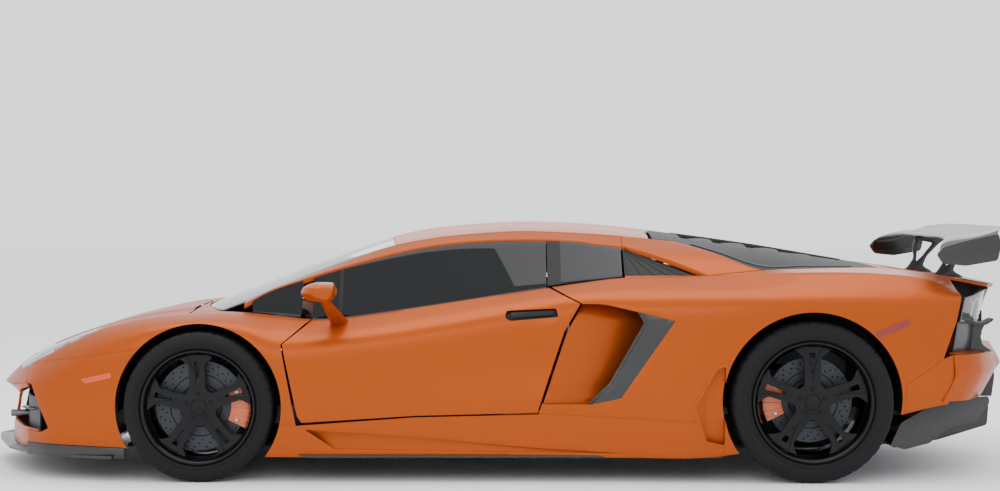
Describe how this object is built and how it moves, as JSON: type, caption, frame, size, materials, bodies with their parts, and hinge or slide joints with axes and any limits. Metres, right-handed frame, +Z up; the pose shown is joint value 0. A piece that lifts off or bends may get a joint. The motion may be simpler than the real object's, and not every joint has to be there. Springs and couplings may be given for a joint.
{
  "type": "mid-engine supercar",
  "caption": "Low wedge-shaped two-seat mid-engine supercar with scissor doors, opening hood and engine cover, steering front wheels and a rear wing.",
  "frame": {"origin": "middle of the bounding box on the ground under the tyres", "axes": "-X towards the nose, +X towards the tail, -Y to the driver's left side, +Z up"},
  "size_m": [4.82, 2.256, 1.1358],
  "materials": {
    "paint": "metallic orange, clear coated",
    "carbon": "lacquered woven carbon fibre",
    "dark_metal": "satin black coated steel and aluminium",
    "glass": "dark tinted glass",
    "red_lens": "moulded red lamp lens",
    "lamp": "clear lamp lens over a black housing",
    "exhaust_metal": "heat tinted steel",
    "black_plastic": "grained black plastic",
    "engine_alloy": "cast aluminium",
    "caliper_paint": "orange brake caliper paint",
    "leather": "black leather",
    "tyre": "black rubber",
    "rim_black": "gloss black painted aluminium"
  },
  "bodies": {
    "body": {"tub": "carbon", "front_frame": "dark_metal", "luggage_tub": "black_plastic", "rear_frame": "dark_metal", "roof": "paint", "buttresses": "paint", "windscreen": "glass", "quarter_windows": "glass", "front_bumper": "paint", "front_splitter": "carbon", "front_fenders": "paint", "side_skirts": "paint", "rear_quarters": "paint", "haunches": "paint", "intake_blades": "carbon", "quarter_vents": "carbon", "rear_deck": "paint", "rear_wing": "carbon", "wing_stands": "carbon", "rear_bumper": "paint", "rear_diffuser": "carbon", "tail_lights": "red_lens", "headlights": "lamp", "exhaust": "exhaust_metal", "underfloor": "black_plastic", "engine": "engine_alloy", "wheel_liners": "black_plastic", "front_arms": "dark_metal", "rear_arms": "dark_metal", "rear_knuckles": "caliper_paint", "seats": "leather", "dashboard": "black_plastic"},
    "door_left": {"door_left": "paint", "door_glass_left": "glass", "mirror_left": "paint"},
    "door_right": {"door_right": "paint", "door_glass_right": "glass", "mirror_right": "paint"},
    "hood": {"hood": "paint"},
    "engine_cover": {"engine_cover": "carbon"},
    "steering_wheel": {"steering_wheel": "leather"},
    "knuckle_left": {"front_knuckle_left": "caliper_paint"},
    "knuckle_right": {"front_knuckle_right": "caliper_paint"},
    "wheel_front_left": {"tyre_front_left": "tyre", "rim_front_left": "rim_black"},
    "wheel_front_right": {"tyre_front_right": "tyre", "rim_front_right": "rim_black"},
    "wheel_rear_left": {"tyre_rear_left": "tyre", "rim_rear_left": "rim_black"},
    "wheel_rear_right": {"tyre_rear_right": "tyre", "rim_rear_right": "rim_black"}
  },
  "joints": [
    {"name": "door_left_swing", "type": "hinge", "parent": "body", "child": "door_left", "pos_m": [-0.856, -0.7, 0.716], "axis": [0.3413, -0.9205, -0.1904], "range_deg": [0, 65]},
    {"name": "door_right_swing", "type": "hinge", "parent": "body", "child": "door_right", "pos_m": [-0.856, 0.7, 0.716], "axis": [-0.3413, -0.9205, 0.1904], "range_deg": [0, 65]},
    {"name": "hood_lift", "type": "hinge", "parent": "body", "child": "hood", "pos_m": [-1.403, 0, 0.735], "axis": [0, 1, 0], "range_deg": [0, 55]},
    {"name": "engine_cover_lift", "type": "hinge", "parent": "body", "child": "engine_cover", "pos_m": [0.707, 0, 1.09], "axis": [0, -1, 0], "range_deg": [0, 45]},
    {"name": "steer_left", "type": "hinge", "parent": "body", "child": "knuckle_left", "pos_m": [-1.311, -0.795, 0.33], "axis": [0, 0, 1], "range_deg": [-30, 30]},
    {"name": "steer_right", "type": "hinge", "parent": "body", "child": "knuckle_right", "pos_m": [-1.311, 0.795, 0.33], "axis": [0, 0, 1], "range_deg": [-30, 30]},
    {"name": "steering_wheel_turn", "type": "hinge", "parent": "body", "child": "steering_wheel", "pos_m": [-0.511, -0.37, 0.7], "axis": [0.9135, 0, 0.4067], "range_deg": [-360, 360]},
    {"name": "wheel_front_left_spin", "type": "hinge", "parent": "knuckle_left", "child": "wheel_front_left", "pos_m": [-1.311, -0.845, 0.33], "axis": [0, -1, 0], "continuous": true},
    {"name": "wheel_front_right_spin", "type": "hinge", "parent": "knuckle_right", "child": "wheel_front_right", "pos_m": [-1.311, 0.845, 0.33], "axis": [0, -1, 0], "continuous": true},
    {"name": "wheel_rear_left_spin", "type": "hinge", "parent": "body", "child": "wheel_rear_left", "pos_m": [1.389, -0.85, 0.355], "axis": [0, -1, 0], "continuous": true},
    {"name": "wheel_rear_right_spin", "type": "hinge", "parent": "body", "child": "wheel_rear_right", "pos_m": [1.389, 0.85, 0.355], "axis": [0, -1, 0], "continuous": true}
  ],
  "couplings": [
    {"joint": "steer_right", "follows": "steer_left", "ratio": 1},
    {"joint": "steering_wheel_turn", "follows": "steer_left", "ratio": 12}
  ]
}
